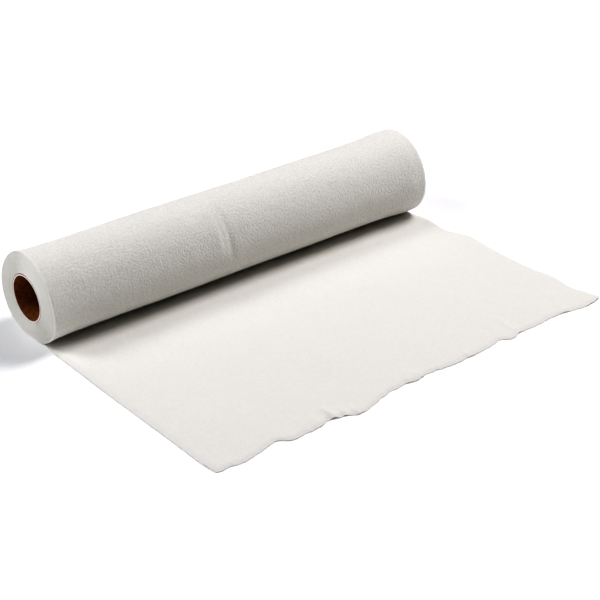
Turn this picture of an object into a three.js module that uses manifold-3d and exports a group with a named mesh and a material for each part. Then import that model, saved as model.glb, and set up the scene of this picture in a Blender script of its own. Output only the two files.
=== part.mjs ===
// A roll of thick white felt wound on a cardboard tube. It lies on its side, and its loose end comes out
// from under it and lies flat in front. Millimetres, +Z up. X runs along the tube and the loose end runs
// out towards -Y. The origin is on the surface that the roll lies on, under the middle of the roll.
import * as THREE from "three";
import { mergeVertices } from "three/addons/utils/BufferGeometryUtils.js";
import Module from "manifold-3d";

// Driving dimensions
const CLOTH_WIDTH = 450;
const CLOTH_THICKNESS = 1.5;
const ROLL_RADIUS = 44;
const TUBE_BORE_RADIUS = 21.2;
const TUBE_WALL = 1.5;
const TUBE_INSET = 0.6;
const FIT_GAP = 0.3;

// The turns are not quite in line, so the wound cloth is a little longer than one width of it.
const WINDING_SPREAD = 1.5;

// The roll's axis stands a little lower than its radius, because its underside is pressed flat.
const ROLL_AXIS_Z = 40.9;

// The tube sits off the middle of the roll, to the back and down, because the cloth is wound loosely.
const TUBE_AXIS_Y = 2.7;
const TUBE_AXIS_Z = 39.0;

// The roll sags under its own weight, so its section is not a circle. A row is one wave round the
// section: how many lobes it has, and how far they stand out along +Y (cosine) and +Z (sine).
const SECTION_WAVES = [
  { lobes: 2, cosine: 1.44, sine: -0.49 },
  { lobes: 3, cosine: 0.15, sine: -1.22 },
];

// Sections along the roll, from end to end: the place along X, and how much the radius grows there.
const ROLL_SECTIONS = [
  { along: -215, swell: -0.3 },
  { along: -180, swell: -0.5 },
  { along: -140, swell: -0.2 },
  { along: -100, swell: 0.2 },
  { along: -70, swell: 0.3 },
  { along: -46, swell: 0.1 },
  { along: -38, swell: 0 },
  { along: -32, swell: 0 },
  { along: -27, swell: 0 },
  { along: -22, swell: 0 },
  { along: -14, swell: -0.1 },
  { along: 15, swell: -0.2 },
  { along: 50, swell: 0.1 },
  { along: 90, swell: 0.4 },
  { along: 130, swell: 0.4 },
  { along: 165, swell: 0.8 },
  { along: 190, swell: 1.7 },
  { along: 208, swell: 2.1 },
  { along: 219, swell: 1.9 },
];

// One crease runs round the front of the roll: a ridge, and a trough beside it. Angles are in degrees
// round the section, from +Y towards +Z, so 90 is the top and 180 the front.
const ROLL_CREASES = [
  { along: -32, width: 4.5, height: 1.0, from: 95, to: 200 },
  { along: -26.5, width: 4, height: -0.9, from: 100, to: 195 },
];

// The rim of each end is rounded: how far in from the end, and how far below the outside.
const RIM_STEPS = [
  { inward: 0, drop: 1.6 },
  { inward: 0.6, drop: 0.6 },
  { inward: 2.2, drop: 0.1 },
];

// The ends bulge: a row is a ring of the end face, as a share of the way from the tube to the outside,
// and how far the wound edges stand out there.
const END_RINGS = [
  { share: 0.3, bulge: 0.3 },
  { share: 0.65, bulge: 0.7 },
];

// The front edge of the loose end, left to right: how far it reaches from under the roll, and how far
// it lifts off the surface.
const FRONT_EDGE = [
  { x: -225, reach: 271, lift: 0.4 },
  { x: -214, reach: 274, lift: 0 },
  { x: -198, reach: 277, lift: 0 },
  { x: -182, reach: 275, lift: 0.4 },
  { x: -161, reach: 271, lift: 0.8 },
  { x: -151, reach: 278, lift: 1.4 },
  { x: -138, reach: 278, lift: 0.3 },
  { x: -120, reach: 278, lift: 0.4 },
  { x: -110, reach: 275, lift: 0 },
  { x: -101, reach: 280, lift: 2.4 },
  { x: -95, reach: 279, lift: 0.8 },
  { x: -84, reach: 284, lift: 0.3 },
  { x: -70, reach: 283, lift: 0 },
  { x: -50, reach: 277, lift: 0.4 },
  { x: -22, reach: 275, lift: 0.2 },
  { x: -9, reach: 277, lift: 1.2 },
  { x: 3, reach: 275, lift: 0.3 },
  { x: 25, reach: 278, lift: 0 },
  { x: 53, reach: 279, lift: 0.5 },
  { x: 79, reach: 278, lift: 0.2 },
  { x: 96, reach: 276, lift: 0.8 },
  { x: 104, reach: 281, lift: 1.4 },
  { x: 119, reach: 278, lift: 0.6 },
  { x: 140, reach: 279, lift: 0.2 },
  { x: 168, reach: 278, lift: 0.6 },
  { x: 184, reach: 281, lift: 1.0 },
  { x: 198, reach: 284, lift: 0.8 },
  { x: 215, reach: 284, lift: 1.0 },
  { x: 225, reach: 281, lift: 1.4 },
];

// The right side edge, from the roll to the front: how far it stands out past its straight line, and
// how far it lifts.
const RIGHT_EDGE = [
  { y: 0, out: -1.5, lift: 0 },
  { y: -28, out: -1, lift: 0 },
  { y: -50, out: 1.5, lift: 0 },
  { y: -80, out: -2.6, lift: 0.3 },
  { y: -108, out: 3.2, lift: 1.8 },
  { y: -128, out: 2, lift: 1.4 },
  { y: -160, out: 0, lift: 0.2 },
  { y: -200, out: -0.5, lift: 0 },
  { y: -222, out: 1, lift: 0.6 },
  { y: -252, out: -2, lift: 0 },
  { y: -268, out: 1, lift: 0.5 },
  { y: -280, out: 2.5, lift: 1.2 },
];

// The left side edge, in the same way. It lies flat, and bows a little.
const LEFT_EDGE = [
  { y: 0, out: -1.5, lift: 0 },
  { y: -30, out: 0, lift: 0 },
  { y: -130, out: 1, lift: 0 },
  { y: -220, out: -0.2, lift: 0 },
  { y: -280, out: -0.5, lift: 0 },
];

// Soft ridges in the loose end, all of them running back from its front edge: the place across, the
// length and width, and the height at the edge.
const SHEET_RIDGES = [
  { x: -116, length: 22, width: 5, height: 1.0 },
  { x: -101, length: 26, width: 5, height: 1.4 },
  { x: 118, length: 30, width: 6, height: 0.7 },
  { x: 187, length: 34, width: 7, height: 1.1 },
];

// How far the lift of an edge dies out inside the cloth.
const EDGE_LIFT_FADE = 22;

// The loose end starts a little behind the roll's resting line, inside the wound cloth.
const SHEET_START_Y = 5;

// Fineness of the meshes
const SIDES_ROUND_ROLL = 56;
const SIDES_ROUND_TUBE = 40;
const SHEET_COLUMNS = 60;
const SHEET_ROWS = 16;
const FRONT_CROWDING = 1.7;

// Materials
const feltMaterial = new THREE.MeshStandardMaterial({ color: 0xefece6, roughness: 0.95, metalness: 0 });
const cardboardMaterial = new THREE.MeshStandardMaterial({ color: 0x8a5a34, roughness: 0.85, metalness: 0 });

const wasm = await Module();
wasm.setup();

// Value of one column of a table at a place along another, with a smooth step from row to row.
function between(rows, placeColumn, valueColumn, place) {
  const ordered = [...rows].sort((a, b) => a[placeColumn] - b[placeColumn]);
  if (place <= ordered[0][placeColumn]) {
    return ordered[0][valueColumn];
  }
  for (let i = 1; i < ordered.length; i += 1) {
    const before = ordered[i - 1];
    const after = ordered[i];
    if (place <= after[placeColumn]) {
      const share = THREE.MathUtils.smoothstep(place, before[placeColumn], after[placeColumn]);
      return THREE.MathUtils.lerp(before[valueColumn], after[valueColumn], share);
    }
  }
  return ordered[ordered.length - 1][valueColumn];
}

// A soft hump: 1 at the middle, dying out over a width.
function hump(distance, width) {
  return Math.exp(-((distance / width) ** 2));
}

// Keeps only the positions, joins the shared corners and gives a geometry for a closed body.
function closedGeometry(geometry) {
  geometry.deleteAttribute("normal");
  geometry.deleteAttribute("uv");
  return mergeVertices(geometry, 1e-4);
}

// Moves every corner of a geometry by a function from its old place to its new one.
function reshape(geometry, newPlace) {
  const corners = geometry.getAttribute("position");
  const corner = new THREE.Vector3();
  for (let i = 0; i < corners.count; i += 1) {
    corner.fromBufferAttribute(corners, i);
    newPlace(corner);
    corners.setXYZ(i, corner.x, corner.y, corner.z);
  }
  return geometry;
}

function toSolid(geometry) {
  const mesh = new wasm.Mesh({
    numProp: 3,
    vertProperties: new Float32Array(geometry.getAttribute("position").array),
    triVerts: new Uint32Array(geometry.index.array),
  });
  return new wasm.Manifold(mesh);
}

function toGeometry(solid) {
  const mesh = solid.getMesh();
  const geometry = new THREE.BufferGeometry();
  geometry.setAttribute("position", new THREE.BufferAttribute(new Float32Array(mesh.vertProperties), 3));
  geometry.setIndex(new THREE.BufferAttribute(new Uint32Array(mesh.triVerts), 1));
  return geometry;
}

// How far the outside of the wound cloth lies from the roll's axis.
function outsideRadius(angle, along) {
  let radius = ROLL_RADIUS + between(ROLL_SECTIONS, "along", "swell", along);
  for (const wave of SECTION_WAVES) {
    radius += wave.cosine * Math.cos(wave.lobes * angle);
    radius += wave.sine * Math.sin(wave.lobes * angle);
  }
  for (const crease of ROLL_CREASES) {
    const middle = THREE.MathUtils.degToRad((crease.from + crease.to) / 2);
    const halfSpan = THREE.MathUtils.degToRad((crease.to - crease.from) / 2);
    const turn = Math.atan2(Math.sin(angle - middle), Math.cos(angle - middle));
    const strength = 1 - THREE.MathUtils.smoothstep(Math.abs(turn), halfSpan * 0.4, halfSpan);
    radius += crease.height * strength * hump(along - crease.along, crease.width);
  }
  return radius;
}

// The wound form, with the tube's hole through it. It is turned about the tube first, and then its
// rings are drawn out from the tube's circle to the roll's sagging section.
function woundForm() {
  const holeRadius = TUBE_BORE_RADIUS + TUBE_WALL + FIT_GAP;
  const depth = ROLL_RADIUS - holeRadius;
  const end = (CLOTH_WIDTH + WINDING_SPREAD) / 2;
  const halfProfile = [new THREE.Vector2(holeRadius, end)];
  for (const ring of END_RINGS) {
    halfProfile.push(new THREE.Vector2(holeRadius + ring.share * depth, end + ring.bulge));
  }
  for (const step of RIM_STEPS) {
    halfProfile.push(new THREE.Vector2(ROLL_RADIUS - step.drop, end - step.inward));
  }
  const leftSide = halfProfile.map((point) => new THREE.Vector2(point.x, -point.y));
  const middle = ROLL_SECTIONS.map((section) => new THREE.Vector2(ROLL_RADIUS, section.along));
  const rightSide = [...halfProfile].reverse();
  const profile = [...leftSide, ...middle, ...rightSide, leftSide[0].clone()];
  const turned = closedGeometry(new THREE.LatheGeometry(profile, SIDES_ROUND_ROLL));
  return reshape(turned, (corner) => {
    const along = corner.y;
    const radius = Math.hypot(corner.x, corner.z);
    const angle = Math.atan2(corner.x, corner.z);
    const share = (radius - holeRadius) / depth;
    const drawnRadius = THREE.MathUtils.lerp(holeRadius, outsideRadius(angle, along), share);
    const centreY = THREE.MathUtils.lerp(TUBE_AXIS_Y, 0, share);
    const centreZ = THREE.MathUtils.lerp(TUBE_AXIS_Z, ROLL_AXIS_Z, share);
    const height = centreZ + drawnRadius * Math.sin(angle);
    corner.set(along, centreY + drawnRadius * Math.cos(angle), Math.max(height, 0));
  });
}

// How far the loose end is off the surface.
function sheetLift(x, y, reach, rightSide) {
  const fromFront = y + reach;
  const fromRight = rightSide - x;
  const frontLift = between(FRONT_EDGE, "x", "lift", x) * hump(fromFront, EDGE_LIFT_FADE);
  const rightLift = between(RIGHT_EDGE, "y", "lift", y) * hump(fromRight, EDGE_LIFT_FADE);
  let lift = Math.max(frontLift, rightLift);
  for (const ridge of SHEET_RIDGES) {
    lift += ridge.height * hump(x - ridge.x, ridge.width) * hump(fromFront, ridge.length);
  }
  const SETTLED = 0.05;
  return lift < SETTLED ? 0 : lift - SETTLED;
}

// The loose end, a thin slab whose grid is crowded towards the uneven front edge.
function looseEnd() {
  const slab = closedGeometry(new THREE.BoxGeometry(1, 1, 1, SHEET_COLUMNS, SHEET_ROWS, 1));
  return reshape(slab, (corner) => {
    const across = corner.x + 0.5;
    const towardsFront = 1 - (corner.y + 0.5);
    const isTop = corner.z > 0;
    const plainX = (across - 0.5) * CLOTH_WIDTH;
    const reach = between(FRONT_EDGE, "x", "reach", plainX);
    const crowded = 1 - (1 - towardsFront) ** FRONT_CROWDING;
    const y = THREE.MathUtils.lerp(SHEET_START_Y, -reach, crowded);
    const leftSide = -CLOTH_WIDTH / 2 - between(LEFT_EDGE, "y", "out", y);
    const rightSide = CLOTH_WIDTH / 2 + between(RIGHT_EDGE, "y", "out", y);
    const x = THREE.MathUtils.lerp(leftSide, rightSide, across);
    const lift = sheetLift(x, y, reach, rightSide);
    corner.set(x, y, lift + (isTop ? CLOTH_THICKNESS : 0));
  });
}

// The felt is one cloth, so the wound form and the loose end are one body.
function felt() {
  const body = toSolid(woundForm()).add(toSolid(looseEnd()));
  const mesh = new THREE.Mesh(toGeometry(body), feltMaterial);
  mesh.name = "felt";
  return mesh;
}

// The cardboard tube, open from end to end.
function core() {
  const end = CLOTH_WIDTH / 2 - TUBE_INSET;
  const outside = TUBE_BORE_RADIUS + TUBE_WALL;
  const profile = [
    new THREE.Vector2(TUBE_BORE_RADIUS, -end),
    new THREE.Vector2(outside, -end),
    new THREE.Vector2(outside, end),
    new THREE.Vector2(TUBE_BORE_RADIUS, end),
    new THREE.Vector2(TUBE_BORE_RADIUS, -end),
  ];
  const mesh = new THREE.Mesh(
    closedGeometry(new THREE.LatheGeometry(profile, SIDES_ROUND_TUBE)),
    cardboardMaterial,
  );
  mesh.name = "core";
  mesh.rotation.z = -Math.PI / 2;
  mesh.position.set(0, TUBE_AXIS_Y, TUBE_AXIS_Z);
  return mesh;
}

const rollOfFelt = new THREE.Group();
rollOfFelt.add(felt(), core());

export default rollOfFelt;
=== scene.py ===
"""Dresses the roll of felt: the cloth as one long strip that is wound and drawn out, and its tube."""

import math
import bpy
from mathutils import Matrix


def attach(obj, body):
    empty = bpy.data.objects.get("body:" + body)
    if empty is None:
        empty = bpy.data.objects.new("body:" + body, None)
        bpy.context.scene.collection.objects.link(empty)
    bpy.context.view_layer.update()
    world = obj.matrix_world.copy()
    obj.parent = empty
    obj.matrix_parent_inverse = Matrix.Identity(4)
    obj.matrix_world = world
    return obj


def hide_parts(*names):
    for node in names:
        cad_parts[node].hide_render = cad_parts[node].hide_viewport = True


bl_info = {
    "name": "Roll of Felt",
    "version": (1, 0, 0),
    "blender": (4, 5, 0),
    "location": "View3D > Sidebar > Felt",
    "description": "Winds a strip of felt on a cardboard tube and draws out its loose end",
    "category": "Object",
}

from bisect import bisect_right

import bmesh
import bpy
from mathutils import Vector, noise

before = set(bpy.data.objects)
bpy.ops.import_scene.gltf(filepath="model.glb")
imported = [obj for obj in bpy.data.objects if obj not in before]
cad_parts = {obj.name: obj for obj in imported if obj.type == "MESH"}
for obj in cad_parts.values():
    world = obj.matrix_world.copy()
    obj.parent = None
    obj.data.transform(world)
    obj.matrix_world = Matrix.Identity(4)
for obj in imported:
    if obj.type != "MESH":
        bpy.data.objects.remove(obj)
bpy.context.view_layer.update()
MM = 0.001

# How the roll lies. The tube sits off the middle of the roll, to the back and down.
ROLL_AXIS_Z = 40.9 * MM
TUBE_AXIS_Y = 3.3 * MM
TUBE_AXIS_Z = 38.8 * MM

# The tube is a little wider than it is high.
TUBE_OVAL = 1.05

# Where the cloth leaves the roll, as an angle round the section from +Y towards +Z.
RESTING_ANGLE = math.radians(-90)

# The sag of the roll's section. A row is one wave round it: its lobes, and how far they stand out
# along +Y (cosine) and +Z (sine), in millimetres.
SECTION_WAVES = (
    {"lobes": 2, "cosine": 1.44, "sine": -0.49},
    {"lobes": 3, "cosine": 0.15, "sine": -1.22},
)

# How much is added to the roll's radius along its length, in millimetres.
ROLL_SECTIONS = (
    {"along": -226, "swell": 1.3},
    {"along": -221, "swell": 0.8},
    {"along": -213, "swell": 0.0},
    {"along": -200, "swell": -0.4},
    {"along": -180, "swell": -0.5},
    {"along": -140, "swell": -0.2},
    {"along": -100, "swell": 0.2},
    {"along": -70, "swell": 0.3},
    {"along": -46, "swell": 0.1},
    {"along": -14, "swell": -0.1},
    {"along": 15, "swell": -0.2},
    {"along": 50, "swell": 0.1},
    {"along": 90, "swell": 0.4},
    {"along": 130, "swell": 0.4},
    {"along": 165, "swell": 0.8},
    {"along": 190, "swell": 1.5},
    {"along": 208, "swell": 2.8},
    {"along": 219, "swell": 2.6},
)

# The crease round the front of the roll: a low ridge, two troughs and a wide hollow beside them. Places,
# widths and heights are in millimetres, and the span round the section is in degrees.
ROLL_CREASES = (
    {"along": -41.5, "width": 6.0, "height": 0.4, "from": 100, "to": 190},
    {"along": -36.5, "width": 2.8, "height": -1.1, "from": 108, "to": 190},
    {"along": -29.5, "width": 3.6, "height": -1.7, "from": 106, "to": 200},
    {"along": -23.0, "width": 12.0, "height": -0.8, "from": 100, "to": 185},
)

# The uneven front edge of the loose end, left to right: its reach from the resting line, and how far
# it lifts, in millimetres.
FRONT_EDGE = (
    {"x": -225, "reach": 274.5, "lift": 0.4},
    {"x": -214, "reach": 275.5, "lift": 0.0},
    {"x": -198, "reach": 277, "lift": 0.0},
    {"x": -182, "reach": 275, "lift": 0.1},
    {"x": -161, "reach": 271, "lift": 0.3},
    {"x": -151, "reach": 278, "lift": 0.4},
    {"x": -138, "reach": 278, "lift": 0.0},
    {"x": -120, "reach": 278, "lift": 0.1},
    {"x": -110, "reach": 275, "lift": 0.0},
    {"x": -101, "reach": 278, "lift": 0.3},
    {"x": -95, "reach": 278.5, "lift": 0.1},
    {"x": -84, "reach": 284, "lift": 0.1},
    {"x": -70, "reach": 283, "lift": 0.0},
    {"x": -50, "reach": 277, "lift": 0.1},
    {"x": -22, "reach": 275, "lift": 0.1},
    {"x": -9, "reach": 277, "lift": 0.6},
    {"x": 3, "reach": 275, "lift": 0.1},
    {"x": 25, "reach": 278, "lift": 0.0},
    {"x": 53, "reach": 279, "lift": 0.2},
    {"x": 79, "reach": 278, "lift": 0.1},
    {"x": 96, "reach": 276, "lift": 0.2},
    {"x": 104, "reach": 281, "lift": 0.4},
    {"x": 119, "reach": 278, "lift": 0.2},
    {"x": 140, "reach": 279, "lift": 0.0},
    {"x": 168, "reach": 278, "lift": 0.3},
    {"x": 184, "reach": 281, "lift": 0.2},
    {"x": 198, "reach": 284, "lift": 0.2},
    {"x": 215, "reach": 284, "lift": 0.5},
    {"x": 225, "reach": 281, "lift": 0.9},
)

# The side edges of the loose end, from the front to the roll: how far they stand out past their
# straight line, and how far they lift, in millimetres.
RIGHT_EDGE = (
    {"y": -280, "out": 2.5, "lift": 1.2},
    {"y": -268, "out": 1.0, "lift": 0.5},
    {"y": -252, "out": -2.0, "lift": 0.0},
    {"y": -222, "out": 1.0, "lift": 0.6},
    {"y": -200, "out": -0.5, "lift": 0.0},
    {"y": -160, "out": 0.0, "lift": 0.2},
    {"y": -128, "out": 2.0, "lift": 1.4},
    {"y": -108, "out": 3.2, "lift": 1.8},
    {"y": -80, "out": -2.6, "lift": 0.3},
    {"y": -50, "out": 1.5, "lift": 0.0},
    {"y": -28, "out": -1.0, "lift": 0.0},
    {"y": 0, "out": -1.5, "lift": 0.0},
)
LEFT_EDGE = (
    {"y": -280, "out": -1.6, "lift": 0.0},
    {"y": -255, "out": 0.6, "lift": 0.0},
    {"y": -220, "out": 0.5, "lift": 0.0},
    {"y": -130, "out": 1.0, "lift": 0.0},
    {"y": -30, "out": 0.0, "lift": 0.0},
    {"y": 0, "out": -1.5, "lift": 0.0},
)

# Creases in the loose end, each from a point near the front edge to one further in. A positive height
# is a soft ridge and a negative one a trough, in millimetres.
SHEET_CREASES = (
    {"x": -116, "y": -283, "to_x": -118, "to_y": -266, "width": 5.0, "height": 0.7},
    {"x": -110.5, "y": -283, "to_x": -113, "to_y": -263, "width": 3.4, "height": -0.9},
    {"x": -104.5, "y": -283, "to_x": -104, "to_y": -262, "width": 3.2, "height": 1.4},
    {"x": -98.5, "y": -283, "to_x": -98, "to_y": -266, "width": 2.0, "height": -0.8},
    {"x": -94, "y": -283, "to_x": -93, "to_y": -268, "width": 2.4, "height": 0.9},
    {"x": -88.5, "y": -283, "to_x": -89, "to_y": -272, "width": 2.0, "height": -0.5},
    {"x": -83, "y": -284, "to_x": -84, "to_y": -274, "width": 2.4, "height": 0.7},
    {"x": -21, "y": -280, "to_x": -12, "to_y": -262, "width": 3.5, "height": 0.6},
    {"x": -2, "y": -280, "to_x": -7, "to_y": -266, "width": 2.6, "height": 0.8},
    {"x": 55, "y": -281, "to_x": 52, "to_y": -272, "width": 3.0, "height": 0.6},
    {"x": 117, "y": -281, "to_x": 119, "to_y": -250, "width": 4.0, "height": 0.8},
    {"x": 180, "y": -283, "to_x": 194, "to_y": -250, "width": 4.0, "height": 0.8},
    {"x": 186, "y": -283, "to_x": 199, "to_y": -254, "width": 3.0, "height": -0.6},
)


class FeltClothSizes(bpy.types.PropertyGroup):
    """The felt, as it is cut, and how it is wound."""

    width: bpy.props.FloatProperty(
        name="Width",
        description="Width of the cloth",
        default=0.450,
        unit="LENGTH",
    )
    thickness: bpy.props.FloatProperty(
        name="Thickness",
        description="Thickness where nothing presses it",
        default=0.0015,
        unit="LENGTH",
    )
    roll_radius: bpy.props.FloatProperty(
        name="Roll radius",
        description="Radius of the whole roll",
        default=0.044,
        unit="LENGTH",
    )
    hole_radius: bpy.props.FloatProperty(
        name="Hole radius",
        description="Radius that the first turn lies on",
        default=0.0228,
        unit="LENGTH",
    )
    loose_end: bpy.props.FloatProperty(
        name="Loose end",
        description="Length that is drawn out of the roll",
        default=0.278,
        unit="LENGTH",
    )
    turns: bpy.props.IntProperty(
        name="Turns",
        description="Layers of cloth between the tube and the outside",
        default=22,
        min=2,
    )
    laid_columns: bpy.props.IntProperty(
        name="Columns",
        description="Faces across the top of the loose end",
        default=300,
        min=8,
    )
    under_columns: bpy.props.IntProperty(
        name="Columns below",
        description="Faces across the underside of the loose end",
        default=75,
        min=8,
    )
    wound_columns: bpy.props.IntProperty(
        name="Columns round",
        description="Faces across the outside of the roll",
        default=210,
        min=8,
    )
    step: bpy.props.FloatProperty(
        name="Step",
        description="Length of a face where it shows",
        default=0.0022,
        unit="LENGTH",
    )
    fine_step: bpy.props.FloatProperty(
        name="Fine step",
        description="Length of a face near the front edge",
        default=0.0011,
        unit="LENGTH",
    )
    fine_rows: bpy.props.IntProperty(
        name="Fine rows",
        description="How many rows of such faces there are",
        default=42,
        min=1,
    )
    steps_a_turn: bpy.props.IntProperty(
        name="Steps a turn",
        description="Faces round one of the covered turns",
        default=64,
        min=16,
    )
    edge_rounding: bpy.props.FloatProperty(
        name="Edge rounding",
        description="How far its cut edges are rounded",
        default=0.0006,
        unit="LENGTH",
    )


class FeltTubeSizes(bpy.types.PropertyGroup):
    """The cardboard tube."""

    bore_radius: bpy.props.FloatProperty(
        name="Bore radius",
        description="Radius of the hole through it",
        default=0.0212,
        unit="LENGTH",
    )
    wall: bpy.props.FloatProperty(
        name="Wall",
        description="Thickness of the board",
        default=0.0015,
        unit="LENGTH",
    )
    inset: bpy.props.FloatProperty(
        name="Inset",
        description="How far its ends stand inside the cloth",
        default=0.0002,
        unit="LENGTH",
    )
    rim_rounding: bpy.props.FloatProperty(
        name="Rim rounding",
        description="How far its cut rims are worn",
        default=0.0003,
        unit="LENGTH",
    )
    sides: bpy.props.IntProperty(
        name="Sides",
        description="Faces round the tube",
        default=144,
        min=24,
    )


class FeltFinish(bpy.types.PropertyGroup):
    """The colours of the cloth and the board."""

    felt: bpy.props.FloatVectorProperty(
        name="Felt",
        description="Colour of the felt",
        subtype="COLOR",
        size=3,
        default=(0.817, 0.802, 0.754),
    )
    # Painted shade: the felt is darkened towards this colour where its clumps and hairs are low, for the
    # shade in its hollows.
    felt_hollow_shade: bpy.props.FloatVectorProperty(
        name="Felt hollows",
        description="Between its hairs",
        subtype="COLOR",
        size=3,
        default=(0.755, 0.743, 0.692),
    )
    felt_tips: bpy.props.FloatVectorProperty(
        name="Felt tips",
        description="Tips of its hairs",
        subtype="COLOR",
        size=3,
        default=(0.87, 0.855, 0.81),
    )
    # Painted highlight: the last turn's frayed cut edge is paler, as the lit line along the roll's end.
    felt_rim_fray_highlight: bpy.props.FloatVectorProperty(
        name="Felt rim",
        description="Edge of the last turn",
        subtype="COLOR",
        size=3,
        default=(0.93, 0.918, 0.875),
    )
    board: bpy.props.FloatVectorProperty(
        name="Board",
        description="Face of the board",
        subtype="COLOR",
        size=3,
        default=(0.28, 0.11, 0.026),
    )
    board_dark: bpy.props.FloatVectorProperty(
        name="Board specks",
        description="Specks and seams",
        subtype="COLOR",
        size=3,
        default=(0.17, 0.052, 0.012),
    )
    board_cut: bpy.props.FloatVectorProperty(
        name="Board edge",
        description="Cut edge of the board",
        subtype="COLOR",
        size=3,
        default=(0.95, 0.87, 0.83),
    )
    board_cut_dark: bpy.props.FloatVectorProperty(
        name="Edge specks",
        description="Specks in the cut edge",
        subtype="COLOR",
        size=3,
        default=(0.84, 0.70, 0.64),
    )


class FeltStudio(bpy.types.PropertyGroup):
    """The floor, the lights and the camera."""

    floor: bpy.props.FloatVectorProperty(
        name="Floor",
        description="Colour of the floor",
        subtype="COLOR",
        size=3,
        default=(0.98, 0.98, 0.98),
    )
    right_power: bpy.props.FloatProperty(
        name="Right softbox",
        description="Power of the main light, high at the right",
        default=36.6,
        unit="POWER",
    )
    left_power: bpy.props.FloatProperty(
        name="Left softbox",
        description="Power of the light high at the left",
        default=12.2,
        unit="POWER",
    )
    fill_power: bpy.props.FloatProperty(
        name="Left fill",
        description="Power of the low light at the left",
        default=3.6,
        unit="POWER",
    )
    surround: bpy.props.FloatProperty(
        name="Surround",
        description="Strength of the light from all round",
        default=0.01,
        min=0.0,
    )
    lens: bpy.props.FloatProperty(
        name="Lens",
        description="Focal length of the camera, in millimetres",
        default=82.46,
    )


def mixed(first, second, share):
    """The value that lies a share of the way from the first to the second."""
    return first + (second - first) * share


def eased(share):
    """A smooth step from 0 to 1."""
    share = min(max(share, 0.0), 1.0)
    return share * share * (3.0 - 2.0 * share)


def hump(distance, width):
    """A soft hump: 1 at its middle, dying out over a width."""
    return math.exp(-((distance / width) ** 2))


# This many times its softness away from its limit, a soft limit no longer bends.
BEND_REACH = 30.0


def soft_limit(value, lowest, softness):
    """The value, but no less than the lowest, with a soft bend where it meets it."""
    over = (value - lowest) / softness
    if over > BEND_REACH:
        return value
    if over < -BEND_REACH:
        return lowest
    return lowest + softness * math.log1p(math.exp(over))


class Course:
    """One column of a table as a smooth function of another. The table is in millimetres."""

    def __init__(self, rows, place, value):
        self.places = [row[place] * MM for row in rows]
        self.values = [row[value] * MM for row in rows]
        last = len(rows) - 1
        self.slopes = []
        for i in range(len(rows)):
            before = max(i - 1, 0)
            after = min(i + 1, last)
            rise = self.values[after] - self.values[before]
            self.slopes.append(rise / (self.places[after] - self.places[before]))

    def at(self, place):
        """The value at a place, level past the ends of the table."""
        if place <= self.places[0]:
            return self.values[0]
        if place >= self.places[-1]:
            return self.values[-1]
        i = bisect_right(self.places, place) - 1
        span = self.places[i + 1] - self.places[i]
        share = (place - self.places[i]) / span
        bend = share * (1.0 - share) * span
        value = mixed(self.values[i], self.values[i + 1], eased(share))
        value += bend * (1.0 - share) * self.slopes[i]
        return value - bend * share * self.slopes[i + 1]


SWELL = Course(ROLL_SECTIONS, "along", "swell")
FRONT_REACH = Course(FRONT_EDGE, "x", "reach")
FRONT_LIFT = Course(FRONT_EDGE, "x", "lift")
RIGHT_OUT = Course(RIGHT_EDGE, "y", "out")
RIGHT_LIFT = Course(RIGHT_EDGE, "y", "lift")
LEFT_OUT = Course(LEFT_EDGE, "y", "out")


# How much of a crease's span, from its middle, has its full height.
CREASE_FULL = 0.4


def crease_on_roll(angle, along):
    """How far the crease lifts the roll's outside."""
    height = 0.0
    for crease in ROLL_CREASES:
        middle = math.radians(crease["from"] + crease["to"]) / 2
        half_span = math.radians(crease["to"] - crease["from"]) / 2
        turn = abs(math.remainder(angle - middle, math.tau))
        strength = 1.0 - eased((turn / half_span - CREASE_FULL) / (1.0 - CREASE_FULL))
        height += crease["height"] * strength * hump(along / MM - crease["along"], crease["width"])
    return height * MM


def outside_radius(cloth, angle, along):
    """How far the outside of the roll lies from its axis."""
    radius = cloth.roll_radius + SWELL.at(along) + crease_on_roll(angle, along)
    for wave in SECTION_WAVES:
        radius += wave["cosine"] * math.cos(wave["lobes"] * angle) * MM
        radius += wave["sine"] * math.sin(wave["lobes"] * angle) * MM
    return radius


# How thick a turn is where the roll's weight presses it on the floor, and how softly it bends there.
PRESSED_TURN = 0.72 * MM
PRESS_SOFTNESS = 0.15 * MM


def wound_place(cloth, turns, depth_turns, along, stand_out=0.0):
    """Where a point of the wound cloth lies across the roll, after some turns and at some depth."""
    angle = RESTING_ANGLE + math.tau * turns
    share = 1.0 - depth_turns / cloth.turns
    radius = mixed(cloth.hole_radius, outside_radius(cloth, angle, along), share) + stand_out
    y = mixed(TUBE_AXIS_Y, 0.0, share) + radius * math.cos(angle) * mixed(TUBE_OVAL, 1.0, share)
    z = mixed(TUBE_AXIS_Z, ROLL_AXIS_Z, share) + radius * math.sin(angle)
    if z < cloth.roll_radius / 2:
        z = soft_limit(z, PRESSED_TURN * depth_turns, PRESS_SOFTNESS)
    return y, z


# The roll isn't quite round, so the place of its underside is found in a few rounds.
UNDERSIDE_ROUNDS = 3


def underside(cloth, y, along):
    """How high the roll's underside is above the floor, at a place in front of the resting line."""
    radius = cloth.roll_radius
    for _ in range(UNDERSIDE_ROUNDS):
        swing = math.asin(min(max(-y / radius, 0.0), 1.0))
        radius = outside_radius(cloth, RESTING_ANGLE - swing, along)
    turns = 1.0 - swing / math.tau
    return wound_place(cloth, turns, turns, along)[1]


# The felt's own unevenness: slow waves, lumps and small bumps. Their lengths and heights are in
# millimetres, and each kind starts at its own place in the noise.
RELIEF = (
    {"length": 70, "height": 0.25, "start": (0.0, 0.0, 0.0)},
    {"length": 19, "height": 0.16, "start": (7.3, 1.1, 4.0)},
    {"length": 7, "height": 0.10, "start": (2.2, 9.4, 1.7)},
)

# The small tears of the front edge: their lengths and reach in millimetres, and where in the noise each
# kind starts.
TEARS = (
    {"length": 9.0, "reach": 1.2, "start": 3.1},
    {"length": 4.1, "reach": 0.8, "start": 8.2},
)


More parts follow.
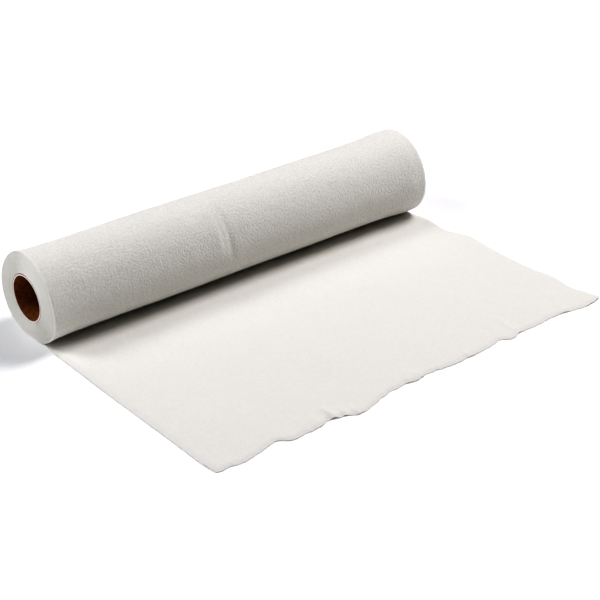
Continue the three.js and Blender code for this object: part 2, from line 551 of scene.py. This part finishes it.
def relief(across, along):
    """How far the felt's own unevenness stands out."""
    place = Vector((across, along, 0.0))
    height = 0.0
    for wave in RELIEF:
        start = Vector(wave["start"])
        height += noise.noise(place / (wave["length"] * MM) + start) * wave["height"]
    return height * MM


def torn_edge(across):
    """How far the small tears move the front edge, past what its table says."""
    reach = 0.0
    for tear in TEARS:
        place = Vector((across / MM / tear["length"], tear["start"], 0.0))
        reach += noise.noise(place) * tear["reach"]
    return reach * MM


def to_segment(x, y, crease):
    """How far a point is from a crease's line, in millimetres."""
    start = Vector((crease["x"], crease["y"]))
    way = Vector((crease["to_x"], crease["to_y"])) - start
    place = Vector((x, y)) / MM - start
    share = min(max(place.dot(way) / way.length_squared, 0.0), 1.0)
    return (place - way * share).length


# How far inside the cloth the lift of an edge dies out, and how far back the creases at the front reach.
LIFT_FADE = 22 * MM
CREASES_END = -240 * MM

# The slow waves of the loose end: their length and height, and the level at which they are cut from
# the noise.
WAVE_LENGTH = 85 * MM
WAVE_HEIGHT = 1.4 * MM
WAVE_LEVEL = 0.03

# How far from the roll and from the edges these waves begin, and how much further on they are full.
WAVES_FROM_ROLL = 30 * MM
WAVES_RISE_FROM_ROLL = 60 * MM
WAVES_FROM_EDGES = 4 * MM
WAVES_RISE_FROM_EDGES = 40 * MM

# How softly the cloth comes down on the floor.
FLOOR_SOFTNESS = 0.08 * MM


def sheet_lift(cloth, x, y):
    """How far the underside of the loose end is off the floor."""
    from_front = y + FRONT_REACH.at(x)
    from_right = cloth.width / 2 + RIGHT_OUT.at(y) - x
    front = FRONT_LIFT.at(x) * hump(from_front, LIFT_FADE)
    right = RIGHT_LIFT.at(y) * hump(from_right, LIFT_FADE)
    lift = max(front, right)
    if y < CREASES_END:
        for crease in SHEET_CREASES:
            lift += crease["height"] * MM * hump(to_segment(x, y, crease), crease["width"])
    waves = noise.noise(Vector((x, y, WAVE_LEVEL)) / WAVE_LENGTH) * WAVE_HEIGHT
    clear_of_roll = eased((-y - WAVES_FROM_ROLL) / WAVES_RISE_FROM_ROLL)
    inside = min(from_front, from_right, cloth.width / 2 + x)
    clear_of_edges = eased((inside - WAVES_FROM_EDGES) / WAVES_RISE_FROM_EDGES)
    lift += max(waves, 0.0) * clear_of_roll * clear_of_edges
    return soft_limit(lift, 0.0, FLOOR_SOFTNESS) - soft_limit(0.0, 0.0, FLOOR_SOFTNESS)


# How much of the cloth takes up the unevenness of its side edges, and of its front edge.
SIDE_MARGIN = 75 * MM
FRONT_MARGIN = 60 * MM

# How much of its thickness the cloth loses at its front and side edges, how far in, and how far from the
# roll its sides lose all of that.
FRONT_THINNING = 0.72
SIDE_THINNING = 0.7
THIN_MARGIN = 3 * MM
THINNING_RISE = 60 * MM

# How far from the roll the felt's own unevenness begins, and how much further on it is full.
RELIEF_FROM_ROLL = 12 * MM
RELIEF_RISE = 20 * MM

# The gap between the loose end and the roll where it comes down on it.
CLEARANCE = 0.03 * MM


def side_share(cloth, across):
    """How much of a side edge's unevenness reaches a place across the cloth."""
    inside = (cloth.width / 2 - abs(across)) / SIDE_MARGIN
    return max(1.0 - inside, 0.0) ** 2


def laid_place(cloth, across, from_front, through):
    """Where a point of the loose end lies."""
    unevenness = FRONT_REACH.at(across) + torn_edge(across) - cloth.loose_end
    y = from_front - cloth.loose_end - unevenness * (1.0 - eased(from_front / FRONT_MARGIN))
    out = RIGHT_OUT.at(y) if across > 0.0 else -LEFT_OUT.at(y)
    x = across + out * side_share(cloth, across)
    thickness = cloth.thickness * (1.0 - FRONT_THINNING * hump(from_front, THIN_MARGIN))
    from_side = cloth.width / 2 - abs(across)
    thickness *= 1.0 - SIDE_THINNING * hump(from_side, THIN_MARGIN) * eased(-y / THINNING_RISE)
    if y > -cloth.roll_radius / 2:
        thickness = min(thickness, underside(cloth, min(y, 0.0), x) - CLEARANCE)
    clear_of_roll = eased((-y - RELIEF_FROM_ROLL) / RELIEF_RISE)
    bump = relief(across, from_front) * clear_of_roll * through
    return x, y, sheet_lift(cloth, x, y) + through * thickness + bump


# The turns' edges are not in line: the ends bulge, the outermost turn stands out as a lip, each turn is
# ruffled, and the cloth drifts from side to side as it is wound.
END_BULGE = 0.7 * MM
RIM_LIP = 0.75 * MM
RUFFLE = 0.3 * MM
DRIFT = 0.35 * MM

# How many such bulges would fill the turns from the outside to the tube, and how many turns the lip
# dies out over.
BULGES_TO_TUBE = 1.15
LIP_TURNS = 1.1

# How fine the ruffle is, and how much it changes from one turn to the next.
RUFFLE_FINENESS = 1.7
RUFFLE_CHANGE = 0.8

# The waves that the drift is made of: how many go into a turn, the angle each starts at, and its share.
DRIFT_WAVES = (
    {"in_a_turn": 0.31, "start": 1.0, "share": 0.6},
    {"in_a_turn": 0.83, "start": 0.0, "share": 0.4},
)


def end_shift(cloth, across, turns):
    """How far a turn's edge stands out along the roll."""
    bulge = END_BULGE * math.sin(math.pi * min(turns / cloth.turns * BULGES_TO_TUBE, 1.0))
    lip = RIM_LIP * hump(turns, LIP_TURNS)
    angle = math.tau * turns
    round_turn = Vector((math.cos(angle), math.sin(angle), turns * RUFFLE_CHANGE))
    ruffle = RUFFLE * noise.noise(round_turn * RUFFLE_FINENESS)
    drift = 0.0
    for wave in DRIFT_WAVES:
        drift += math.sin(angle * wave["in_a_turn"] + wave["start"]) * wave["share"]
    return DRIFT * drift + math.copysign(bulge + lip + ruffle, across)


# Where nothing shows, the cloth has only its two end zones and the stretch between them.
COVERED_COLUMNS = 3
END_ZONE = 28 * MM

# How much of its pitch a covered turn fills, and how far the covered turns keep below the dips and the
# crease of the outermost one, away from the ends.
TURN_FILL = 0.985
COVERED_DROP = 2.6 * MM


def wound_length(cloth, turns):
    """The length of cloth in the outermost turns."""
    pitch = (cloth.roll_radius - cloth.hole_radius) / cloth.turns
    return math.tau * ((cloth.roll_radius - pitch / 2) * turns - pitch * turns * turns / 2)


def turns_in(cloth, length):
    """How many of the outermost turns a length of cloth makes."""
    pitch = (cloth.roll_radius - cloth.hole_radius) / cloth.turns
    radius = cloth.roll_radius - pitch / 2
    return (radius - math.sqrt(max(radius * radius - pitch * length / math.pi, 0.0))) / pitch


# A row of points this near to a turn's end is counted as being on it.
ROW_TOLERANCE = 0.01 * MM


def is_covered(cloth, flat):
    """Whether a point of the cloth has another turn over it, or is on the inside of one."""
    above = flat.z > cloth.thickness / 2
    outside_end = cloth.loose_end + wound_length(cloth, 1.0)
    return flat.y > (cloth.loose_end if above else outside_end) - ROW_TOLERANCE


# Over how much of a turn the loose end's side edges run into the roll's, and how many turns have the
# felt's own unevenness.
JOINING_TURNS = 0.125
UNEVEN_TURNS = 1.2


def rolled_place(cloth, flat):
    """Where a point of the wound cloth lies."""
    across = flat.x
    through = flat.z / cloth.thickness
    wound = flat.y - cloth.loose_end
    turns = turns_in(cloth, wound)
    joined = eased(turns / JOINING_TURNS)
    side = RIGHT_OUT.at(0.0) if across > 0.0 else -LEFT_OUT.at(0.0)
    shift = mixed(side, end_shift(cloth, across, turns), joined) * side_share(cloth, across)
    x = across + shift
    stand_out = 0.0
    if turns < UNEVEN_TURNS:
        stand_out = relief(across, flat.y) * (1.0 - through) * joined
    depth = turns + through * TURN_FILL
    if is_covered(cloth, flat) and abs(flat.x) < cloth.width / 2 - END_ZONE / 2:
        stand_out = -COVERED_DROP * (1.0 - depth / cloth.turns)
    y, z = wound_place(cloth, turns, depth, x, stand_out)
    return x, y, z


def strip_rows(cloth):
    """The places of the rows of faces along the cloth, from its front edge to its start on the tube."""
    rows = [cloth.fine_step * i for i in range(cloth.fine_rows)]
    fine_end = cloth.fine_step * cloth.fine_rows
    laid_rows = round((cloth.loose_end - fine_end) / cloth.step)
    rows += [mixed(fine_end, cloth.loose_end, i / laid_rows) for i in range(laid_rows)]
    shown_steps = round(wound_length(cloth, 1.0) / cloth.step)
    rows += [cloth.loose_end + wound_length(cloth, i / shown_steps) for i in range(shown_steps)]
    covered_steps = cloth.steps_a_turn * (cloth.turns - 2)
    for i in range(covered_steps + 1):
        rows.append(cloth.loose_end + wound_length(cloth, 1.0 + i / cloth.steps_a_turn))
    return rows


def flat_strip(cloth):
    """The whole cloth laid flat: X is across it, Y along it from its front edge, and Z through it."""
    rows = strip_rows(cloth)
    strip = bmesh.new()
    bmesh.ops.create_grid(strip, x_segments=1, y_segments=len(rows) - 1, size=1.0)
    in_order = sorted(strip.verts, key=lambda vert: vert.co.y)
    for i, vert in enumerate(in_order):
        vert.co = (math.copysign(cloth.width / 2, vert.co.x), rows[i // 2], cloth.thickness)
    bmesh.ops.solidify(strip, geom=strip.faces[:], thickness=cloth.thickness)
    return strip


# The faces of the flat cloth turn by more than this angle at its cut edges, and nowhere else.
CUT_ANGLE = 1.0


def round_cut_edges(cloth, strip):
    """Rounds the cloth's cut edges."""
    cut_edges = [edge for edge in strip.edges if edge.calc_face_angle() > CUT_ANGLE]
    bmesh.ops.bevel(
        strip,
        geom=cut_edges,
        offset=cloth.edge_rounding,
        offset_type="OFFSET",
        segments=1,
        profile=0.5,
        affect="EDGES",
        material=-1,
    )


# How far round the front edge the fine columns go on the underside.
FINE_RIM = 3 * MM


def add_columns(cloth, strip):
    """Cuts the cloth into columns where it shows: the loose end, and the outside of the last turn."""
    outside_end = cloth.loose_end + wound_length(cloth, 1.0)
    zones = {
        cloth.laid_columns: [],
        cloth.under_columns: [],
        cloth.wound_columns: [],
        COVERED_COLUMNS: [],
    }
    for edge in strip.edges:
        first, second = (vert.co for vert in edge.verts)
        if abs(first.x - second.x) < cloth.width / 2:
            continue
        above = first.z > cloth.thickness / 2
        if first.y < FINE_RIM or (above and first.y < cloth.loose_end):
            zones[cloth.laid_columns].append(edge)
        elif not above and first.y < cloth.loose_end:
            zones[cloth.under_columns].append(edge)
        elif not above and first.y < outside_end:
            zones[cloth.wound_columns].append(edge)
        else:
            zones[COVERED_COLUMNS].append(edge)
    for columns, edges in zones.items():
        bmesh.ops.subdivide_edges(strip, edges=edges, cuts=columns - 1, use_grid_fill=True)

    # The cuts between the covered columns move out to where the end zones begin.
    for vert in strip.verts:
        if is_covered(cloth, vert.co) and abs(vert.co.x) < cloth.width / 2 - END_ZONE / 2:
            vert.co.x = math.copysign(cloth.width / 2 - END_ZONE, vert.co.x)


def cloth_place(cloth, flat):
    """Where a point of the flat cloth lies once it is wound and its end drawn out."""
    if flat.y < cloth.loose_end:
        return laid_place(cloth, flat.x, flat.y, flat.z / cloth.thickness)
    return rolled_place(cloth, flat)


def finished_piece(name, mesh_data, material):
    """Makes an object of a finished bmesh, smooth all over."""
    for face in mesh_data.faces:
        face.smooth = True
    mesh = bpy.data.meshes.new(name)
    mesh_data.to_mesh(mesh)
    mesh_data.free()
    mesh.materials.append(material)
    piece = bpy.data.objects.new(name, mesh)
    bpy.context.scene.collection.objects.link(piece)
    return piece


# The sockets of a Mix node, by number, because its names repeat: how much of the second it takes, and
# its two numbers or colours and what comes of them.
MIX_SHARE = 0
MIX_NUMBERS = (2, 3)
MIX_NUMBER = 0
MIX_COLOURS = (6, 7)
MIX_COLOUR = 2

# The colour of a noise texture on average, and the directions of the felt's strands, in degrees.
MEAN_NOISE = (0.5, 0.5, 0.5)
STRAND_DIRECTIONS = (8, 68, 128)


class Finish:
    """A material in the making: its shader, and the nodes that feed it."""

    def __init__(self, name):
        self.material = bpy.data.materials.new(name)
        self.material.use_nodes = True
        self.tree = self.material.node_tree
        self.shader = self.tree.nodes["Principled BSDF"]

    def add(self, kind, values=None, **settings):
        """Adds a node with its settings and the values of its sockets."""
        node = self.tree.nodes.new(kind)
        for key, value in settings.items():
            setattr(node, key, value)
        for key, value in (values or {}).items():
            node.inputs[key].default_value = value
        return node

    def link(self, output, node_input):
        """Feeds one node's output into another's input."""
        self.tree.links.new(output, node_input)

    def attribute(self, name):
        """Reads an attribute of the piece."""
        return self.add("ShaderNodeAttribute", attribute_name=name)

    def noise(self, place, scale, detail=0.0, roughness=0.5):
        """Soft noise, with about as many lumps to a unit of length as the scale says."""
        values = {"Scale": scale, "Detail": detail, "Roughness": roughness}
        texture = self.add("ShaderNodeTexNoise", values)
        self.link(place, texture.inputs["Vector"])
        return texture

    def bent(self, place, scale, reach):
        """The place, pushed about, so that straight strands come out bent."""
        push = self.add("ShaderNodeVectorMath", {1: MEAN_NOISE}, operation="SUBTRACT")
        self.link(self.noise(place, scale, detail=1.0).outputs["Color"], push.inputs[0])
        moved = self.add("ShaderNodeVectorMath", {1: (reach, reach, reach)}, operation="MULTIPLY_ADD")
        self.link(push.outputs["Vector"], moved.inputs[0])
        self.link(place, moved.inputs[2])
        return moved.outputs["Vector"]

    def strands(self, place, length, thickness):
        """Strands that lie in several directions and cross each other."""
        top = None
        for degrees in STRAND_DIRECTIONS:
            turned = self.add(
                "ShaderNodeMapping",
                {
                    "Rotation": (0.0, 0.0, math.radians(degrees)),
                    "Scale": (1.0 / length, 1.0 / thickness, 1.0 / thickness),
                },
            )
            self.link(place, turned.inputs["Vector"])
            layer = self.noise(turned.outputs["Vector"], scale=1.0).outputs["Fac"]
            if top is None:
                top = layer
                continue
            higher = self.add("ShaderNodeMath", operation="MAXIMUM")
            self.link(top, higher.inputs[0])
            self.link(layer, higher.inputs[1])
            top = higher.outputs["Value"]
        return top

    def halfway(self, first, second):
        """The mean of two heights."""
        mean = self.add("ShaderNodeMix", {MIX_SHARE: 0.5}, data_type="FLOAT")
        self.link(first, mean.inputs[MIX_NUMBERS[0]])
        self.link(second, mean.inputs[MIX_NUMBERS[1]])
        return mean.outputs[MIX_NUMBER]

    def tinted(self, share, plain, varied):
        """Goes from a plain colour to a varied one, by a share."""
        tint = self.add("ShaderNodeMix", {MIX_COLOURS[0]: (*plain, 1.0)}, data_type="RGBA")
        self.link(share, tint.inputs[MIX_SHARE])
        self.link(varied, tint.inputs[MIX_COLOURS[1]])
        return tint.outputs[MIX_COLOUR]

    def blend(self, height, low, high, dark, pale):
        """Goes from a dark colour where the height is low to a pale one where it is high."""
        ramp = self.add("ShaderNodeValToRGB")
        for stop, place, colour in zip(ramp.color_ramp.elements, (low, high), (dark, pale)):
            stop.position = place
            stop.color = (*colour, 1.0)
        self.link(height, ramp.inputs["Fac"])
        return ramp.outputs["Color"]

    def bumps(self, layers, strength=None):
        """Lays relief over relief. A layer is a height and how far it stands out."""
        normal = None
        for height, distance in layers:
            bump = self.add("ShaderNodeBump", {"Distance": distance})
            self.link(height, bump.inputs["Height"])
            if strength is not None:
                self.link(strength, bump.inputs["Strength"])
            if normal is not None:
                self.link(normal, bump.inputs["Normal"])
            normal = bump.outputs["Normal"]
        self.link(normal, self.shader.inputs["Normal"])


# How far the relief in the finishes stands out: the felt's lumps and clumps of hair, and the specks of
# the board.
LUMP_DEPTH = 0.5 * MM
CLUMP_DEPTH = 1.0 * MM
SPECK_DEPTH = 0.12 * MM


def felt_material(colours):
    """White needled felt: lumps, clumps of matted hair, fine hairs that cross, and painted shade in the
    hollows among them.
    """
    felt = Finish("white_felt")
    flat = felt.attribute("flat").outputs["Vector"]
    bent = felt.bent(flat, scale=180.0, reach=3.0 * MM)
    lumps = felt.noise(flat, scale=75.0, detail=1.0).outputs["Fac"]
    clumps = felt.noise(flat, scale=470.0, detail=2.0, roughness=0.6).outputs["Fac"]
    hairs = felt.strands(bent, length=5.0 * MM, thickness=0.16 * MM)
    nap = felt.attribute("nap").outputs["Fac"]
    felt.bumps(((lumps, LUMP_DEPTH), (clumps, CLUMP_DEPTH)), strength=nap)
    # The hairs' own tone, with painted shade where the clumps and hairs are low; the outside of the roll
    # takes all of it.
    shaded_speckle = felt.blend(
        felt.halfway(hairs, clumps),
        low=0.45,
        high=0.64,
        dark=colours.felt_hollow_shade,
        pale=colours.felt_tips,
    )
    face = felt.tinted(nap, plain=colours.felt, varied=shaded_speckle)
    # The last turn's frayed edge, with a painted highlight along it.
    off_rim = felt.attribute("off_rim").outputs["Fac"]
    colour = felt.tinted(off_rim, plain=colours.felt_rim_fray_highlight, varied=face)
    felt.link(colour, felt.shader.inputs["Base Color"])
    felt.shader.inputs["Roughness"].default_value = 0.95
    felt.shader.inputs["Specular IOR Level"].default_value = 0.15
    felt.shader.inputs["Sheen Weight"].default_value = 0.12
    felt.shader.inputs["Sheen Roughness"].default_value = 0.5
    return felt.material


def board_material(name, pale, dark):
    """Board: its two colours in specks, and a rough face."""
    board = Finish(name)
    place = board.add("ShaderNodeTexCoord").outputs["Object"]
    specks = board.noise(place, scale=260.0, detail=5.0, roughness=0.7).outputs["Fac"]
    board.bumps(((specks, SPECK_DEPTH),))
    colour = board.blend(specks, low=0.35, high=0.55, dark=dark, pale=pale)
    board.link(colour, board.shader.inputs["Base Color"])
    board.shader.inputs["Roughness"].default_value = 0.8
    board.shader.inputs["Specular IOR Level"].default_value = 0.3
    return board.material


# How much of the nap is left on the cloth's inner face, which was pressed in the roll.
PRESSED_NAP = 0.3

# How much of the last turn's edge is frayed and pale, with a painted highlight along it.
RIM_WIDTH = 1.2 * MM


class FELT_OT_wind_cloth(bpy.types.Operator):
    """Makes the felt as one strip, winds it and draws out its loose end"""

    bl_idname = "felt.wind_cloth"
    bl_label = "Wind the Felt"

    def execute(self, context):
        cloth = context.scene.felt_cloth
        strip = flat_strip(cloth)
        round_cut_edges(cloth, strip)
        add_columns(cloth, strip)
        nap = strip.verts.layers.float.new("nap")
        off_rim = strip.verts.layers.float.new("off_rim")
        flat = strip.verts.layers.float_vector.new("flat")
        outside_end = cloth.loose_end + wound_length(cloth, 1.0)
        for vert in strip.verts:
            on_outside = vert.co.z < cloth.thickness / 2 and cloth.loose_end < vert.co.y < outside_end
            # The painted highlight runs along the sides of the roll's outside.
            at_side = abs(vert.co.x) > cloth.width / 2 - RIM_WIDTH
            vert[nap] = 1.0 if on_outside else PRESSED_NAP
            vert[off_rim] = 0.0 if on_outside and at_side else 1.0
            vert[flat] = vert.co
            vert.co = cloth_place(cloth, vert.co)
        felt = finished_piece("felt_cloth", strip, felt_material(context.scene.felt_finish))
        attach(felt, "root")
        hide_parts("felt")
        return {"FINISHED"}


# A face of the tube belongs to a cut rim if its normal points along the tube by more than this.
RIM_FACING = 0.5


class FELT_OT_add_tube(bpy.types.Operator):
    """Makes the cardboard tube that the felt is wound on"""

    bl_idname = "felt.add_tube"
    bl_label = "Add the Tube"

    def execute(self, context):
        tube = context.scene.felt_tube
        half = context.scene.felt_cloth.width / 2 - tube.inset
        wall = bmesh.new()
        bmesh.ops.create_grid(wall, x_segments=1, y_segments=1, size=1.0)
        for vert in wall.verts:
            is_outside = vert.co.y > 0.0
            radius = tube.bore_radius + (tube.wall if is_outside else 0.0)
            vert.co = (math.copysign(half, vert.co.x), TUBE_AXIS_Y, TUBE_AXIS_Z + radius)
        bmesh.ops.bevel(
            wall,
            geom=wall.verts[:],
            offset=tube.rim_rounding,
            offset_type="OFFSET",
            segments=2,
            profile=0.5,
            affect="VERTICES",
            material=-1,
        )
        bmesh.ops.delete(wall, geom=wall.faces[:], context="FACES_ONLY")
        bmesh.ops.spin(
            wall,
            geom=wall.edges[:],
            cent=(0.0, TUBE_AXIS_Y, TUBE_AXIS_Z),
            axis=(1.0, 0.0, 0.0),
            angle=math.tau,
            steps=tube.sides,
            use_merge=True,
        )
        for vert in wall.verts:
            vert.co.y = TUBE_AXIS_Y + (vert.co.y - TUBE_AXIS_Y) * TUBE_OVAL
        bmesh.ops.recalc_face_normals(wall, faces=wall.faces[:])
        for face in wall.faces:
            face.material_index = int(abs(face.normal.x) > RIM_FACING)
        finish = context.scene.felt_finish
        brown_board = board_material("brown_board", finish.board, finish.board_dark)
        cut_board = board_material("cut_board", finish.board_cut, finish.board_cut_dark)
        board = finished_piece("cardboard_tube", wall, brown_board)
        board.data.materials.append(cut_board)
        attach(board, "root")
        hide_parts("core")
        return {"FINISHED"}


# The floor is a wide disc, in metres, a little under the cloth so that the two don't share a plane.
FLOOR_RADIUS = 40.0
FLOOR_SIDES = 96
FLOOR_DROP = 0.2 * MM

# The floor glows, faintly round the roll and strongly where the lamps don't reach it. Distances are in
# metres.
NEAR_FLOOR = {"distance": 0.8, "glow": 0.05}
FAR_FLOOR = {"distance": 1.6, "glow": 0.7}
GLOW_COLOUR = (0.98, 1.0, 1.0, 1.0)


def floor_material(studio):
    """A plain pale floor that stays pale as far as it goes."""
    pale = Finish("pale_floor")
    place = pale.add("ShaderNodeTexCoord").outputs["Object"]
    distance = pale.add("ShaderNodeVectorMath", operation="LENGTH")
    pale.link(place, distance.inputs[0])
    glow = pale.add(
        "ShaderNodeMapRange",
        {
            "From Min": NEAR_FLOOR["distance"],
            "From Max": FAR_FLOOR["distance"],
            "To Min": NEAR_FLOOR["glow"],
            "To Max": FAR_FLOOR["glow"],
        },
    )
    pale.link(distance.outputs["Value"], glow.inputs["Value"])
    pale.link(glow.outputs["Result"], pale.shader.inputs["Emission Strength"])
    pale.shader.inputs["Base Color"].default_value = (*studio.floor, 1.0)
    pale.shader.inputs["Roughness"].default_value = 0.9
    pale.shader.inputs["Specular IOR Level"].default_value = 0.1
    pale.shader.inputs["Emission Color"].default_value = GLOW_COLOUR
    return pale.material


# The colour of the light from all round, and the place that the lights point at, in metres.
SURROUND_COLOUR = (1.0, 0.985, 0.95, 1.0)
LIT_PLACE = Vector((0.0, -0.1, 0.04))

# What the camera looks at, how far it stands from that, in metres, and where: how many degrees to the
# side of straight in front, and how many up. Its sensor's width is in millimetres, as its lens is.
CAMERA_TARGET = Vector((-29.4, -143.4, 30.0)) * MM
CAMERA_DISTANCE = 1.242
CAMERA_SIDEWAYS = math.radians(-40.11)
CAMERA_UPWARDS = math.radians(28.27)
SENSOR_WIDTH = 36.0


def add_floor(studio):
    """Lays the floor, which belongs to the stage and not to the part."""
    ground = bmesh.new()
    bmesh.ops.create_circle(ground, cap_ends=True, segments=FLOOR_SIDES, radius=FLOOR_RADIUS)
    floor = finished_piece("floor", ground, floor_material(studio))
    floor.location.z = -FLOOR_DROP


def add_surround(scene, studio):
    """Adds the faint light from all round."""
    world = bpy.data.worlds.new("surround")
    world.use_nodes = True
    background = world.node_tree.nodes["Background"]
    background.inputs["Color"].default_value = SURROUND_COLOUR
    background.inputs["Strength"].default_value = studio.surround
    scene.world = world


def add_light(scene, name, place, size, power, colour):
    """Adds a square soft light that points at the cloth. Its place and size are in metres."""
    light = bpy.data.lights.new(name, "AREA")
    light.size = size
    light.energy = power
    light.color = colour
    lamp = bpy.data.objects.new(name, light)
    lamp.location = place
    to_cloth = LIT_PLACE - lamp.location
    lamp.rotation_euler = to_cloth.to_track_quat("-Z", "Y").to_euler()
    scene.collection.objects.link(lamp)


def add_camera(scene, studio):
    """Adds the camera that the scene is seen by."""
    camera = bpy.data.objects.new("camera", bpy.data.cameras.new("camera"))
    camera.data.sensor_width = SENSOR_WIDTH
    camera.data.lens = studio.lens
    back = Vector((math.sin(CAMERA_SIDEWAYS), -math.cos(CAMERA_SIDEWAYS), 0.0))
    back *= math.cos(CAMERA_UPWARDS)
    back.z = math.sin(CAMERA_UPWARDS)
    camera.location = CAMERA_TARGET + back * CAMERA_DISTANCE
    camera.rotation_euler = (-back).to_track_quat("-Z", "Y").to_euler()
    scene.collection.objects.link(camera)
    scene.camera = camera


class FELT_OT_set_stage(bpy.types.Operator):
    """Sets the floor, the lights and the camera"""

    bl_idname = "felt.set_stage"
    bl_label = "Set the Stage"

    def execute(self, context):
        scene = context.scene
        studio = scene.felt_studio
        add_floor(studio)
        add_surround(scene, studio)
        add_light(
            scene,
            "right_softbox",
            place=(1.5, -0.32, 2.1),
            size=1.1,
            power=studio.right_power,
            colour=(0.985, 0.971, 1.0),
        )
        add_light(
            scene,
            "left_softbox",
            place=(-1.2, 0.85, 1.6),
            size=0.75,
            power=studio.left_power,
            colour=(0.96, 0.965, 1.0),
        )
        add_light(
            scene,
            "left_fill",
            place=(-1.6, 0.1, 0.8),
            size=0.75,
            power=studio.fill_power,
            colour=(0.91, 0.94, 1.0),
        )
        add_camera(scene, studio)
        scene.view_settings.view_transform = "Standard"
        scene.view_settings.look = "Very High Contrast"
        return {"FINISHED"}


class FELT_PT_panel(bpy.types.Panel):
    """Lists the steps that make the roll of felt, and its sizes and colours"""

    bl_idname = "FELT_PT_panel"
    bl_label = "Roll of Felt"
    bl_space_type = "VIEW_3D"
    bl_region_type = "UI"
    bl_category = "Felt"

    def draw(self, context):
        for step in STEPS:
            self.layout.operator(step.bl_idname)
        for name, group in SETTINGS.items():
            box = self.layout.box()
            box.label(text=name.replace("_", " ").capitalize())
            for setting in group.__annotations__:
                box.prop(getattr(context.scene, name), setting)


STEPS = (FELT_OT_add_tube, FELT_OT_wind_cloth, FELT_OT_set_stage)
SETTINGS = {
    "felt_cloth": FeltClothSizes,
    "felt_tube": FeltTubeSizes,
    "felt_finish": FeltFinish,
    "felt_studio": FeltStudio,
}


def register():
    for group in SETTINGS.values():
        bpy.utils.register_class(group)
    for step in STEPS:
        bpy.utils.register_class(step)
    bpy.utils.register_class(FELT_PT_panel)
    for name, group in SETTINGS.items():
        setattr(bpy.types.Scene, name, bpy.props.PointerProperty(type=group))


def unregister():
    for name in SETTINGS:
        delattr(bpy.types.Scene, name)
    bpy.utils.unregister_class(FELT_PT_panel)
    for step in reversed(STEPS):
        bpy.utils.unregister_class(step)
    for group in reversed(tuple(SETTINGS.values())):
        bpy.utils.unregister_class(group)


def main():
    register()
    bpy.ops.felt.add_tube()
    bpy.ops.felt.wind_cloth()
    bpy.ops.felt.set_stage()
    bpy.context.view_layer.update()


if __name__ == "__main__":
    main()
